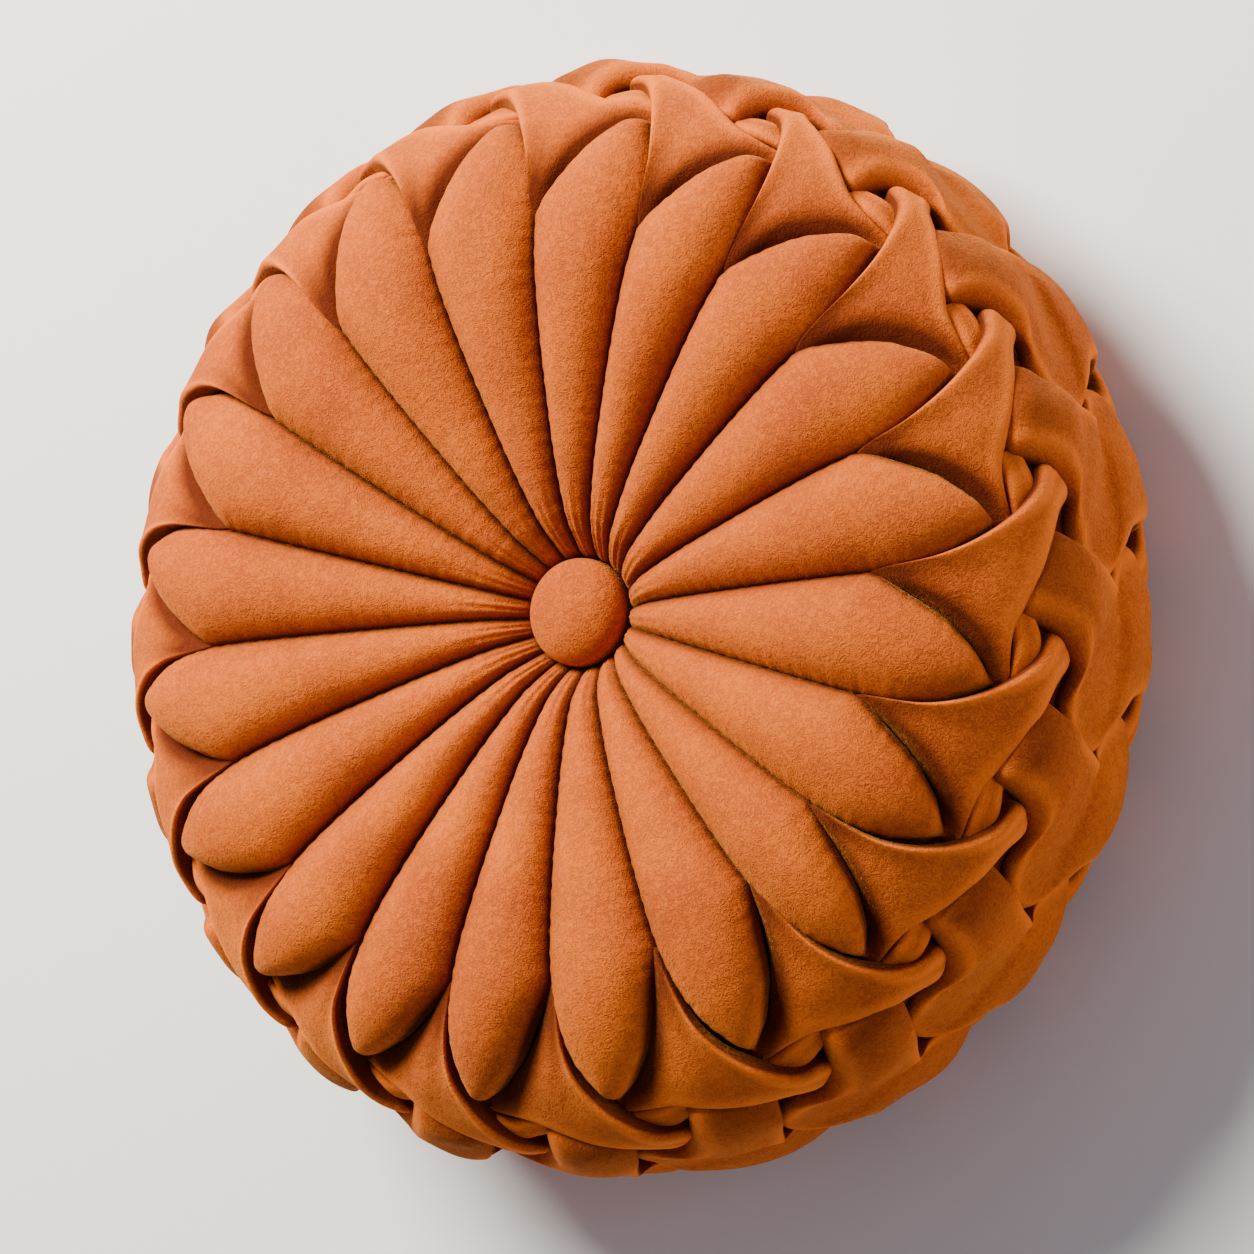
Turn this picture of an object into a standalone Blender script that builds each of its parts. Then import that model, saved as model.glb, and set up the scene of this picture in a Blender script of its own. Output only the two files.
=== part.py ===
"""Round pleated cushion with a smocked side, lying on its back with its face up.

Metres, +Z up, origin at the middle of the resting face. The cover is one filled body:
twenty petals run out from a recessed button, and under them a ring of folded triangles
and side panels laps round the edge, each fold over the next one anticlockwise. The back
repeats the front turned over, as such a cushion is made, and is pressed flat where it lies.
"""
import bpy
import bmesh
import numpy as np
from bisect import bisect_right
from collections import namedtuple
from math import cos, radians, sin

MM = 0.001
REPEATS = 20
PITCH = 360.0 / REPEATS
MID_PLANE = 65.3 * MM
SEAM_ANGLE = 3.65
MID_STATION = 23.0

# How the back differs from the front turned over: degrees round the cushion, marks that its
# folds are drawn in by, and millimetres that they are sunk by.
BACK_TURN = -1.0
BACK_DRAW = 0.7
BACK_SINK = 2.2

# Heights over the section's outline, in millimetres: the body under the folds, the valleys
# between petal ends, and the folds' undersides inside the body.
HOLLOW = -5.4
VALLEY = -11.5
FOLD_ROOT = -13.0

DIP = 2.2
FLOOR_CUT = 30.0 * MM
POCKET_FLOOR = 28.6
KEPT_DETAIL = 0.45

# The outline of a half section, from the gather at the button to the middle of the side.
Station = namedtuple("Station", "mark radius height")
HALF_SECTION = (
    Station(1.9, 18.9, 28.6),
    Station(2.2, 19.4, 33.0),
    Station(3.0, 24.0, 39.0),
    Station(4.0, 32.5, 46.2),
    Station(6.0, 51.5, 54.3),
    Station(8.0, 71.0, 59.8),
    Station(10.0, 91.0, 64.4),
    Station(12.0, 112.8, 67.6),
    Station(13.0, 124.0, 67.8),
    Station(14.0, 134.6, 66.4),
    Station(15.0, 145.2, 63.6),
    Station(16.0, 154.8, 59.6),
    Station(17.0, 163.4, 54.2),
    Station(18.0, 171.0, 47.8),
    Station(19.0, 177.6, 40.0),
    Station(20.0, 181.8, 31.0),
    Station(21.0, 184.5, 20.8),
    Station(22.0, 185.9, 10.4),
    Station(23.0, 186.3, 0.0),
)

# One row of a fold: its lower and its upper border, each as degrees round the cushion,
# a mark along the section, and a height in millimetres over the section's outline.
Across = namedtuple("Across", "low_turn low_mark low_rise top_turn top_mark top_rise")
TRIANGLE = (
    Across(-12.6, 18.75, -6.0, -12.2, 17.95, -7.4),
    Across(-9.6, 18.75, -4.8, -8.4, 17.75, -8.6),
    Across(-6.4, 18.55, -2.0, -3.6, 16.45, -9.2),
    Across(-3.0, 18.55, 0.2, 0.6, 14.70, -8.6),
    Across(0.2, 18.95, 1.7, 3.65, 13.35, -6.2),
    Across(3.2, 19.45, 2.5, 5.0, 15.90, 1.4),
    Across(6.6, 19.90, 2.9, 7.6, 17.80, 3.2),
    Across(9.2, 20.30, 2.8, 11.3, 19.30, 3.8),
    Across(10.8, 20.85, 1.4, 14.3, 19.85, 2.6),
    Across(12.2, 21.25, -1.6, 14.8, 20.60, -0.8),
)
SIDE_PANEL = (
    Across(-1.6, 18.40, -1.5, 8.4, 19.50, -1.5),
    Across(-2.6, 19.50, 2.6, 7.3, 20.15, 1.8),
    Across(-4.4, 20.55, 3.6, 5.6, 21.15, 3.2),
    Across(-7.2, 21.10, 3.0, 3.9, 21.95, 3.5),
    Across(-11.0, 21.00, 0.2, 2.8, 22.60, 3.6),
    Across(-14.4, 21.95, -2.2, 2.2, 23.05, 3.2),
    Across(-15.4, 23.10, -2.0, 3.4, 23.45, -0.6),
    Across(-12.4, 23.65, 1.8, 5.8, 23.95, -3.0),
    Across(-9.6, 24.35, 3.2, 7.4, 24.80, -3.8),
    Across(-8.6, 25.40, 2.8, 7.6, 25.70, -4.2),
    Across(-9.0, 26.80, -2.0, 6.0, 26.80, -4.4),
)
INNER_FLAP = (
    Across(8.4, 19.80, -4.6, 8.4, 18.70, -4.0),
    Across(12.4, 19.80, -2.0, 12.4, 18.50, -1.6),
    Across(16.8, 19.50, -3.4, 16.8, 18.40, -3.0),
)

# The folds' kinds: how deep their rims are and how far their middles bulge, in millimetres.
FoldKind = namedtuple("FoldKind", "name rows rim bulge back")
FOLD_KINDS = (
    FoldKind("side_panel", SIDE_PANEL, 4.8, 1.8, False),
    FoldKind("triangle", TRIANGLE, 3.2, 1.6, False),
    FoldKind("inner_flap", INNER_FLAP, 2.0, 0.6, False),
    FoldKind("back_triangle", TRIANGLE, 3.2, 1.6, True),
)

# How far each seam's end stands from its even place: degrees round the cushion, and marks
# along the section. The seams run anticlockwise from the right of the face.
SeamShift = namedtuple("SeamShift", "turn mark")
SEAM_SHIFTS = (
    SeamShift(-0.2, 0.09),
    SeamShift(-0.3, 0.31),
    SeamShift(0.2, 0.06),
    SeamShift(0.2, 0.14),
    SeamShift(-1.2, 0.36),
    SeamShift(-1.2, 0.51),
    SeamShift(-0.1, 0.46),
    SeamShift(0.7, 0.03),
    SeamShift(0.8, 0.03),
    SeamShift(1.3, 0.25),
    SeamShift(0.9, 0.56),
    SeamShift(0.9, 0.47),
    SeamShift(1.8, 0.28),
    SeamShift(1.1, 0.35),
    SeamShift(0.3, 0.21),
    SeamShift(0.1, -0.14),
    SeamShift(1.7, -0.23),
    SeamShift(2.2, -0.13),
    SeamShift(0.1, -0.11),
    SeamShift(-0.2, 0.01),
)

# Petal rows: where the petal's left and right borders run, and its rise at the border,
# along its crest and at its right edge, which laps over the triangle beyond it.
PetalRow = namedtuple("PetalRow", "mark left right seam crest edge")
PETAL_ROWS = (
    PetalRow(2.2, 3.65, 21.65, -0.6, 0.4, -0.6),
    PetalRow(3.0, 3.65, 21.65, -2.0, 0.9, -2.0),
    PetalRow(4.6, 3.65, 21.65, -3.8, 1.4, -3.8),
    PetalRow(7.0, 3.65, 21.65, -5.2, 2.0, -5.2),
    PetalRow(10.2, 3.65, 21.65, -6.4, 2.8, -6.4),
    PetalRow(13.4, 3.65, 21.65, -6.8, 3.6, -6.6),
    PetalRow(14.8, 4.0, 18.3, -5.6, 4.2, -4.8),
    PetalRow(16.2, 5.1, 15.2, -5.0, 4.0, -4.6),
    PetalRow(17.3, 6.8, 11.8, -5.6, 2.4, -5.0),
    PetalRow(18.0, 8.0, 8.9, -7.2, -5.0, -7.0),
)
HOLLOW_MARKS = (18.5, 21.2)
CREST_AT = (0.0, 0.27, 0.58, 0.86)
CREST_SHARE = (0.0, 0.82, 1.0, 0.66)

ButtonRing = namedtuple("ButtonRing", "radius height")
BUTTON = (
    ButtonRing(16.4, 28.9),
    ButtonRing(18.1, 31.0),
    ButtonRing(18.5, 35.0),
    ButtonRing(17.7, 38.6),
    ButtonRing(15.0, 42.0),
    ButtonRing(10.4, 44.5),
    ButtonRing(5.2, 45.8),
)
BUTTON_FLOOR = 28.9
BUTTON_CROWN = 46.2
BUTTON_SIDES = 36

VELVET_ORANGE = (0.56, 0.165, 0.048)
BUTTON_ORANGE = (0.48, 0.130, 0.038)
VELVET_ROUGHNESS = 0.88


def clear_scene():
    for item in list(bpy.data.objects):
        bpy.data.objects.remove(item, do_unlink=True)


def velvet(name, colour):
    material = bpy.data.materials.new(name)
    material.use_nodes = True
    shader = material.node_tree.nodes["Principled BSDF"]
    shader.inputs["Base Color"].default_value = (*colour, 1.0)
    shader.inputs["Roughness"].default_value = VELVET_ROUGHNESS
    shader.inputs["Metallic"].default_value = 0.0
    return material


def section_point(mark):
    """Radius and height at a mark, on a smooth curve through HALF_SECTION."""
    if mark > MID_STATION:
        radius, height = section_point(2.0 * MID_STATION - mark)
        return radius, -height
    marks = [station.mark for station in HALF_SECTION]
    at = min(max(bisect_right(marks, mark) - 1, 0), len(marks) - 2)
    before, after = HALF_SECTION[at], HALF_SECTION[at + 1]
    span = after.mark - before.mark
    part = (mark - before.mark) / span

    def slope(index):
        low, high = max(index - 1, 0), min(index + 1, len(marks) - 1)
        rise = np.subtract(HALF_SECTION[high][1:], HALF_SECTION[low][1:])
        return rise / (HALF_SECTION[high].mark - HALF_SECTION[low].mark)

    start, end = np.array(before[1:]), np.array(after[1:])
    leave, arrive = slope(at) * span, slope(at + 1) * span
    if after.mark == MID_STATION:
        arrive = np.array((0.0, arrive[1]))
    square, cube = part * part, part ** 3
    point = (2 * cube - 3 * square + 1) * start + (cube - 2 * square + part) * leave
    point = point + (3 * square - 2 * cube) * end + (cube - square) * arrive
    return float(point[0]), float(point[1])


def section_normal(mark):
    """Outward direction of the section at a mark."""
    step = 0.05
    low, high = section_point(max(mark - step, 1.9)), section_point(mark + step)
    along = np.subtract(high, low)
    along = along / np.hypot(*along)
    return -along[1], along[0]


def seam_shift(turn):
    """Shift at any angle, on a smooth curve through the shifts of all the seams."""
    at = (turn - SEAM_ANGLE) / PITCH % REPEATS
    low = int(at)
    part = at - low
    near = [np.array(SEAM_SHIFTS[(low + step) % REPEATS]) for step in (-1, 0, 1, 2)]
    before, start, end, after = near
    leave, arrive = (end - before) / 2, (after - start) / 2
    square, cube = part * part, part ** 3
    shift = (2 * cube - 3 * square + 1) * start + (cube - 2 * square + part) * leave
    return shift + (3 * square - 2 * cube) * end + (cube - square) * arrive


def ease(value, start, end):
    """Smooth step from 0 at start to 1 at end."""
    share = min(max((value - start) / (end - start), 0.0), 1.0)
    return share * share * (3.0 - 2.0 * share)


def place(turn, mark, rise, back=False):
    """World position of a place on the cushion; the back is the front turned over."""
    shift_turn, shift_mark = seam_shift(turn)
    turn += shift_turn * (1.0 - ease(mark, 15.0, 22.0))
    mark += shift_mark * ease(mark, 8.5, 13.35) * (1.0 - ease(mark, 13.35, 17.5))
    if back:
        rise -= BACK_SINK * ease(mark, 17.0, 20.0)
        mark -= BACK_DRAW * ease(mark, 15.0, 20.0)
        turn, mark = BACK_TURN - turn, 2.0 * MID_STATION - mark
    radius, height = section_point(mark)
    out, up = section_normal(mark)
    radius = (radius + out * rise) * MM
    height = (height + up * rise) * MM
    return (radius * cos(radians(turn)), radius * sin(radians(turn)), MID_PLANE + height)


def fold_loop(row, rim, bulge):
    """One closed loop of places: over a fold's rounded top, then down inside the body.

    A fold dips toward its upper border by the power DIP, steepest at the border.
    """
    start, end = np.array(row[:3]), np.array(row[3:])
    wide = np.hypot((end[0] - start[0]) * 3.1, (end[1] - start[1]) * 10.0)
    inset = min(rim / wide, 0.32)
    swell = bulge * min(wide / 30.0, 1.0)
    over = ((0.0, -0.75 * rim), (inset, 0.0), (0.5, swell), (1.0 - inset, 0.0), (1.0, -0.75 * rim))
    loop = []
    for share, lift in over:
        turn, mark = (start + (end - start) * share)[:2]
        rise = start[2] + (end[2] - start[2]) * share ** DIP
        loop.append((turn, mark, rise + lift))
    for share in (1.0 - inset, inset):
        turn, mark, rise = start + (end - start) * share
        loop.append((turn, mark, FOLD_ROOT))
    return loop


def fold_rings(kind, number):
    shift = number * PITCH
    rings = []
    for row in kind.rows:
        loop = fold_loop(row, kind.rim, kind.bulge)
        rings.append([place(turn + shift, mark, rise, kind.back) for turn, mark, rise in loop])
    return rings


def add_fold(mesh, rings):
    """Skins the rings of one fold into a closed body with a pointed cap at each end."""
    loops = [[mesh.verts.new(point) for point in ring] for ring in rings]
    count = len(loops[0])
    for ring, following in zip(loops, loops[1:]):
        for index in range(count):
            after = (index + 1) % count
            mesh.faces.new((ring[index], ring[after], following[after], following[index]))
    for ring in (loops[0], loops[-1]):
        middle = mesh.verts.new(np.mean([vert.co for vert in ring], axis=0))
        for index in range(count):
            mesh.faces.new((ring[index], ring[(index + 1) % count], middle))


def link(name, mesh, material):
    bmesh.ops.recalc_face_normals(mesh, faces=mesh.faces[:])
    bmesh.ops.triangulate(mesh, faces=mesh.faces[:])
    data = bpy.data.meshes.new(name)
    mesh.to_mesh(data)
    mesh.free()
    data.materials.append(material)
    item = bpy.data.objects.new(name, data)
    bpy.context.scene.collection.objects.link(item)
    return item


def fold_set(label, kind, numbers, material):
    """Every other fold of one kind, which are clear of each other."""
    mesh = bmesh.new()
    for number in numbers:
        add_fold(mesh, fold_rings(kind, number))
    item = link(f"{kind.name}_{label}", mesh, material)
    item.data.shade_smooth()
    item.hide_render = True
    item.display_type = "WIRE"
    return item


def petal_places(row):
    """Places across one petal, from its left border to just short of its right one."""
    places = []
    for at, share in zip(CREST_AT, CREST_SHARE):
        low = row.seam if at < 0.5 else row.edge
        rise = low + (row.crest - low) * share
        places.append((row.left + (row.right - row.left) * at, row.mark, rise))
    return places


def body_rows():
    """Rows of places over half the body: four to a petal, then six where it narrows."""
    rows = []
    for row in PETAL_ROWS:
        places = petal_places(row)
        if row.mark > 13.5:
            left_next = row.left + PITCH
            valley = row.right + (left_next - row.right) * 0.25
            places = places + [(row.right, row.mark, row.edge), (valley, row.mark, VALLEY)]
        rows.append(places)
    for mark in HOLLOW_MARKS:
        rows.append([(8.5 + PITCH * step / 6, mark, HOLLOW) for step in range(6)])
    rows.append([(8.5 + PITCH * step / 6, MID_STATION, HOLLOW) for step in range(6)])
    return rows


def ring_of(mesh, places, back):
    points = []
    for number in range(REPEATS):
        for turn, mark, rise in places:
            points.append(place(turn + number * PITCH, mark, rise, back))
    return [mesh.verts.new(point) for point in points]


def stitch(mesh, upper, lower):
    """Joins two rings; where four places meet six, each seam splits into three."""
    if len(upper) == len(lower):
        count = len(upper)
        for index in range(count):
            after = (index + 1) % count
            mesh.faces.new((upper[index], lower[index], lower[after], upper[after]))
        return
    for number in range(REPEATS):
        top = [upper[(number * 4 + index) % len(upper)] for index in range(5)]
        low = [lower[(number * 6 + index) % len(lower)] for index in range(7)]
        for index in range(4):
            mesh.faces.new((top[index], low[index], low[index + 1], top[index + 1]))
        mesh.faces.new((top[4], low[4], low[5]))
        mesh.faces.new((top[4], low[5], low[6]))


def close_pole(mesh, ring, height):
    middle = mesh.verts.new((0.0, 0.0, height))
    for index in range(len(ring)):
        mesh.faces.new((ring[index], ring[(index + 1) % len(ring)], middle))


def build_body(material):
    """The filled body: petals on both faces and the hollow that the folds cross."""
    mesh = bmesh.new()
    rows = body_rows()
    pocket = [(turn, 1.9, 0.0) for turn, mark, rise in rows[0]]
    front = [ring_of(mesh, places, False) for places in [pocket] + rows]
    back = [ring_of(mesh, places, True) for places in [pocket] + rows[:-1]]
    for upper, lower in zip(front, front[1:]):
        stitch(mesh, upper, lower)
    for upper, lower in zip(back, back[1:]):
        stitch(mesh, upper, lower)
    join_middle(mesh, back[-1], front[-1])
    close_pole(mesh, front[0], MID_PLANE + POCKET_FLOOR * MM)
    close_pole(mesh, back[0], MID_PLANE - POCKET_FLOOR * MM)
    cover = link("cushion_cover", mesh, material)
    cover.data.shade_smooth()
    return cover


def join_middle(mesh, ring, middle):
    """Joins the back's last ring to the middle ring, which runs the other way round."""
    count = len(middle)
    angles = [np.arctan2(vert.co.y, vert.co.x) for vert in middle]
    for index in range(count):
        after = (index + 1) % count
        mesh.faces.new((
            ring[index],
            nearest(ring[index], middle, angles),
            nearest(ring[after], middle, angles),
            ring[after],
        ))


def nearest(vert, middle, angles):
    """The vertex of the middle ring at nearly the same angle."""
    turn = np.arctan2(vert.co.y, vert.co.x)
    away = np.abs(np.angle(np.exp(1j * (np.array(angles) - turn))))
    return middle[int(np.argmin(away))]


def unite(body, others, operation="UNION"):
    for other in others:
        modifier = body.modifiers.new(other.name, "BOOLEAN")
        modifier.operation = operation
        modifier.solver = "EXACT"
        modifier.object = other


def build_floor_cutter(material):
    """A slab under the resting plane that presses the back flat."""
    mesh = bmesh.new()
    bmesh.ops.create_cube(mesh, size=1.0)
    bmesh.ops.scale(mesh, vec=(0.5, 0.5, FLOOR_CUT), verts=mesh.verts[:])
    bmesh.ops.translate(mesh, vec=(0.0, 0.0, -FLOOR_CUT / 2), verts=mesh.verts[:])
    item = link("resting_plane", mesh, material)
    item.hide_render = True
    item.display_type = "WIRE"
    return item


def build_button(name, material, back):
    """A domed covered button, seated in the gather."""
    mesh = bmesh.new()
    side = -1.0 if back else 1.0
    rings = []
    for ring in BUTTON:
        height = MID_PLANE + side * ring.height * MM
        points = []
        for index in range(BUTTON_SIDES):
            turn = radians(360.0 * index / BUTTON_SIDES)
            points.append((ring.radius * MM * cos(turn), ring.radius * MM * sin(turn), height))
        rings.append([mesh.verts.new(point) for point in points])
    for lower, upper in zip(rings, rings[1:]):
        for index in range(BUTTON_SIDES):
            after = (index + 1) % BUTTON_SIDES
            mesh.faces.new((lower[index], lower[after], upper[after], upper[index]))
    close_pole(mesh, rings[0], MID_PLANE + side * BUTTON_FLOOR * MM)
    close_pole(mesh, rings[-1], MID_PLANE + side * BUTTON_CROWN * MM)
    item = link(name, mesh, material)
    item.data.shade_smooth()
    item.data.set_sharp_from_angle(angle=radians(50.0))
    return item


def main():
    clear_scene()
    cover_velvet = velvet("cover_velvet", VELVET_ORANGE)
    button_velvet = velvet("button_velvet", BUTTON_ORANGE)
    body = build_body(cover_velvet)
    folds = []
    for label, first in (("even", 0), ("odd", 1)):
        for kind in FOLD_KINDS:
            folds.append(fold_set(label, kind, range(first, REPEATS, 2), cover_velvet))
    unite(body, folds)
    thin = body.modifiers.new("kept_detail", "DECIMATE")
    thin.ratio = KEPT_DETAIL
    thin.use_collapse_triangulate = True
    unite(body, [build_floor_cutter(cover_velvet)], "DIFFERENCE")
    build_button("front_button", button_velvet, False)
    build_button("back_button", button_velvet, True)


if __name__ == "__main__":
    main()
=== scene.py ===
"""Round pleated velvet cushion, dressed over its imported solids.

The cushion lies on its back, face up. Twenty petals run out from a covered button, and a
lattice of folds runs round the side: triangles with long tails, panels that lap over each
other, and small flaps in the hollows between them. The back is the front turned over.
"""
from collections import namedtuple
from math import cos, pi, radians, sin

import bmesh
import bpy
import numpy as np
from bpy.props import FloatProperty, FloatVectorProperty, IntProperty, PointerProperty
from mathutils import Matrix, Vector


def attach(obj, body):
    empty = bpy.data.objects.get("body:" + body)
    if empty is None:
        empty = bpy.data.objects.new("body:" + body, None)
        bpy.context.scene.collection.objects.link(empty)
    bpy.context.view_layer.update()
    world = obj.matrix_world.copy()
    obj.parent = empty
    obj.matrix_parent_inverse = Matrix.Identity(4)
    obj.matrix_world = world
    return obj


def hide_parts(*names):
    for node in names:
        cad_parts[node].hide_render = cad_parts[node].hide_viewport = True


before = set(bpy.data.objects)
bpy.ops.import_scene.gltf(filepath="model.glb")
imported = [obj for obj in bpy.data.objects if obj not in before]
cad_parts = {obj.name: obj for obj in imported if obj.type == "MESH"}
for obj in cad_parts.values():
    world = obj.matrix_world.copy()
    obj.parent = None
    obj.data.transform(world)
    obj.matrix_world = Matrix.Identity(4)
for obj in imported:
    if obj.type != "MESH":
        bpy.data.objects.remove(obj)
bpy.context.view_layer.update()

bl_info = {
    "name": "Round Pleated Cushion",
    "version": (1, 0, 0),
    "blender": (4, 5, 0),
    "location": "View3D > Sidebar > Cushion",
    "description": "Builds a round pleated velvet cushion with a smocked side",
    "category": "Add Mesh",
}

MM = 0.001
REPEATS = 20
PITCH = 360.0 / REPEATS
MID_PLANE = 65.3 * MM
SEAM_ANGLE = 3.65
MID_STATION = 23.0
POCKET_FLOOR = 28.6
BODY = "root"
COVER_NODE = "cushion_cover"

# How the back differs from the front turned over: degrees round the cushion, marks that its
# folds are drawn in by, and millimetres that they are sunk by.
BACK_TURN = -1.0
BACK_DRAW = 0.7
BACK_SINK = 2.2

# Heights over the section's outline, in millimetres: the body under the folds and the valleys
# between petal ends; then how far a fold's underside sinks under its borders.
HOLLOW = -5.4
VALLEY = -11.5
FOLD_SINK = 6.0

# The power that a fold dips by toward its upper border.
DIP = 2.2

# Values of the vertex attribute that holds painted shade and painted highlight, from 1, full
# painted shade deep in the creases, to -1, a painted highlight on a rim: painted shade in the
# dips, down the seams and in the panels' tucked ends, and painted highlight on the rims.
DIP_SHADE = 0.80
SEAM_SHADE = 0.32
TUCK_SHADE = 0.46
RIM_SHINE = 0.8
PETAL_SHINE = 0.7
SHINE_LIMIT = 0.3

# Millimetres to a degree round the side, to a mark along the section, and up.
SIDE_SCALE = (3.1, 10.0, 1.0)

# A fold's mesh: the share of its steps that run over its top, the share of its length that
# rounds off at each end, and how far its rows drift at random, column by column.
TOP_SHARE = 0.68
END_SHARE = 0.05
ROW_DRIFT = (0.22, 0.035, 0.30, 0.22, 0.035, 0.30, 0.2, 0.2)
DRIFT_WAVES = 4

# The outline of a half section, from the gather at the button to the middle of the side.
Station = namedtuple("Station", "mark radius height")
HALF_SECTION = (
    Station(1.9, 18.9, 28.6),
    Station(2.2, 19.4, 33.0),
    Station(3.0, 24.0, 39.0),
    Station(4.0, 32.5, 46.2),
    Station(6.0, 51.5, 54.3),
    Station(8.0, 71.0, 59.8),
    Station(10.0, 91.0, 64.4),
    Station(12.0, 112.8, 67.6),
    Station(13.0, 124.0, 67.8),
    Station(14.0, 134.6, 66.4),
    Station(15.0, 145.2, 63.6),
    Station(16.0, 154.8, 59.6),
    Station(17.0, 163.4, 54.2),
    Station(18.0, 171.0, 47.8),
    Station(19.0, 177.6, 40.0),
    Station(20.0, 181.8, 31.0),
    Station(21.0, 184.5, 20.8),
    Station(22.0, 185.9, 10.4),
    Station(23.0, 186.3, 0.0),
)

# One row of a fold: its lower and its upper border, each as degrees round the cushion,
# a mark along the section and a height in millimetres over the outline, and then how
# thickly each border is rolled, in millimetres.
Across = namedtuple(
    "Across",
    "low_turn low_mark low_rise top_turn top_mark top_rise low_roll top_roll",
)
TRIANGLE = (
    Across(-12.6, 18.75, -6.0, -12.2, 17.95, -7.4, 2.6, 2.2),
    Across(-9.6, 18.75, -4.8, -8.4, 17.75, -8.6, 2.8, 2.2),
    Across(-6.4, 18.55, -2.0, -3.6, 16.45, -9.2, 3.0, 2.2),
    Across(-3.0, 18.55, 0.2, 0.6, 14.70, -8.6, 3.0, 2.0),
    Across(0.2, 18.95, 1.7, 3.65, 13.35, -6.2, 3.2, 1.6),
    Across(3.2, 19.45, 2.5, 5.0, 15.90, 1.4, 3.4, 2.2),
    Across(6.6, 19.90, 2.9, 7.6, 17.80, 3.2, 3.6, 2.8),
    Across(9.2, 20.30, 2.8, 11.3, 19.30, 3.8, 4.2, 3.8),
    Across(10.8, 20.85, 1.4, 14.3, 19.85, 2.6, 4.6, 4.6),
    Across(12.2, 21.25, -1.6, 14.8, 20.60, -0.8, 4.2, 4.2),
)
SIDE_PANEL = (
    Across(-1.6, 18.40, -1.5, 8.4, 19.50, -1.5, 4.0, 2.0),
    Across(-2.6, 19.50, 2.6, 7.3, 20.15, 1.8, 7.0, 2.0),
    Across(-4.4, 20.55, 3.6, 5.6, 21.15, 3.2, 8.0, 1.8),
    Across(-7.2, 21.10, 3.0, 3.9, 21.95, 3.5, 8.0, 1.8),
    Across(-11.0, 21.00, 0.2, 2.8, 22.60, 3.6, 6.0, 1.8),
    Across(-14.4, 21.95, -2.2, 2.2, 23.05, 3.2, 3.4, 1.8),
    Across(-15.4, 23.10, -2.0, 3.4, 23.45, -0.6, 3.0, 2.6),
    Across(-12.4, 23.65, 1.8, 5.8, 23.95, -3.0, 2.4, 3.4),
    Across(-9.6, 24.35, 3.2, 7.4, 24.80, -3.8, 2.4, 4.0),
    Across(-8.6, 25.40, 2.8, 7.6, 25.70, -4.2, 3.0, 4.0),
    Across(-9.0, 26.80, -2.0, 6.0, 26.80, -4.4, 3.4, 3.4),
)
INNER_FLAP = (
    Across(8.4, 19.80, -4.6, 8.4, 18.70, -4.0, 2.2, 2.2),
    Across(12.4, 19.80, -2.0, 12.4, 18.50, -1.6, 2.8, 2.8),
    Across(16.8, 19.50, -3.4, 16.8, 18.40, -3.0, 2.4, 2.4),
)

# The folds' kinds, with the steps along and round each fold's mesh.
FoldKind = namedtuple("FoldKind", "name rows steps round_steps seed back")
TRIANGLES = FoldKind("triangle_folds", TRIANGLE, 76, 40, 1, False)
BACK_TRIANGLES = FoldKind("back_triangle_folds", TRIANGLE, 56, 30, 2, True)
SIDE_PANELS = FoldKind("side_panel_folds", SIDE_PANEL, 84, 44, 3, False)
INNER_FLAPS = FoldKind("inner_flap_folds", INNER_FLAP, 20, 18, 4, False)

# Steps down the gap between two petals' ends: the share of the way across the gap, a nudge
# in degrees, the share where the gap is still a closed seam, and the fall below the petal's
# edge in millimetres, or none where the step lies in the valley itself.
GapStep = namedtuple("GapStep", "share nudge groove fall")
PETAL_GAP = (
    GapStep(0.0, 0.10, 0.03, -1.6),
    GapStep(0.0, 0.0, 0.05, -3.6),
    GapStep(0.0, -0.7, 0.07, -6.0),
    GapStep(0.18, 0.0, 0.09, None),
    GapStep(0.45, 0.0, 0.11, None),
    GapStep(0.72, 0.0, 0.13, None),
    GapStep(0.92, 0.0, 0.15, None),
)

# How far each seam's end stands from its even place: degrees round the cushion, and marks
# along the section. The seams run anticlockwise from the right of the face.
SeamShift = namedtuple("SeamShift", "turn mark")
SEAM_SHIFTS = (
    SeamShift(-0.2, 0.09),
    SeamShift(-0.3, 0.31),
    SeamShift(0.2, 0.06),
    SeamShift(0.2, 0.14),
    SeamShift(-1.2, 0.36),
    SeamShift(-1.2, 0.51),
    SeamShift(-0.1, 0.46),
    SeamShift(0.7, 0.03),
    SeamShift(0.8, 0.03),
    SeamShift(1.3, 0.25),
    SeamShift(0.9, 0.56),
    SeamShift(0.9, 0.47),
    SeamShift(1.8, 0.28),
    SeamShift(1.1, 0.35),
    SeamShift(0.3, 0.21),
    SeamShift(0.1, -0.14),
    SeamShift(1.7, -0.23),
    SeamShift(2.2, -0.13),
    SeamShift(0.1, -0.11),
    SeamShift(-0.2, 0.01),
)

# Petal rows: where the petal's left and right borders run, and its rise at the border,
# along its crest and at its right edge, which laps over the triangle beyond it.
PetalRow = namedtuple("PetalRow", "mark left right seam crest edge")
PETAL_ROWS = (
    PetalRow(2.2, 3.65, 21.65, -0.6, 0.4, -0.6),
    PetalRow(3.0, 3.65, 21.65, -2.0, 0.9, -2.0),
    PetalRow(4.6, 3.65, 21.65, -3.8, 1.4, -3.8),
    PetalRow(7.0, 3.65, 21.65, -5.2, 2.0, -5.2),
    PetalRow(10.2, 3.65, 21.65, -6.4, 2.8, -6.4),
    PetalRow(13.4, 3.65, 21.65, -6.8, 3.6, -6.6),
    PetalRow(14.8, 4.0, 18.3, -5.6, 4.2, -4.8),
    PetalRow(16.2, 5.1, 15.2, -5.0, 4.0, -4.6),
    PetalRow(17.3, 6.8, 11.8, -5.6, 2.4, -5.0),
    PetalRow(18.0, 8.0, 8.9, -7.2, -5.0, -7.0),
)

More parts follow.
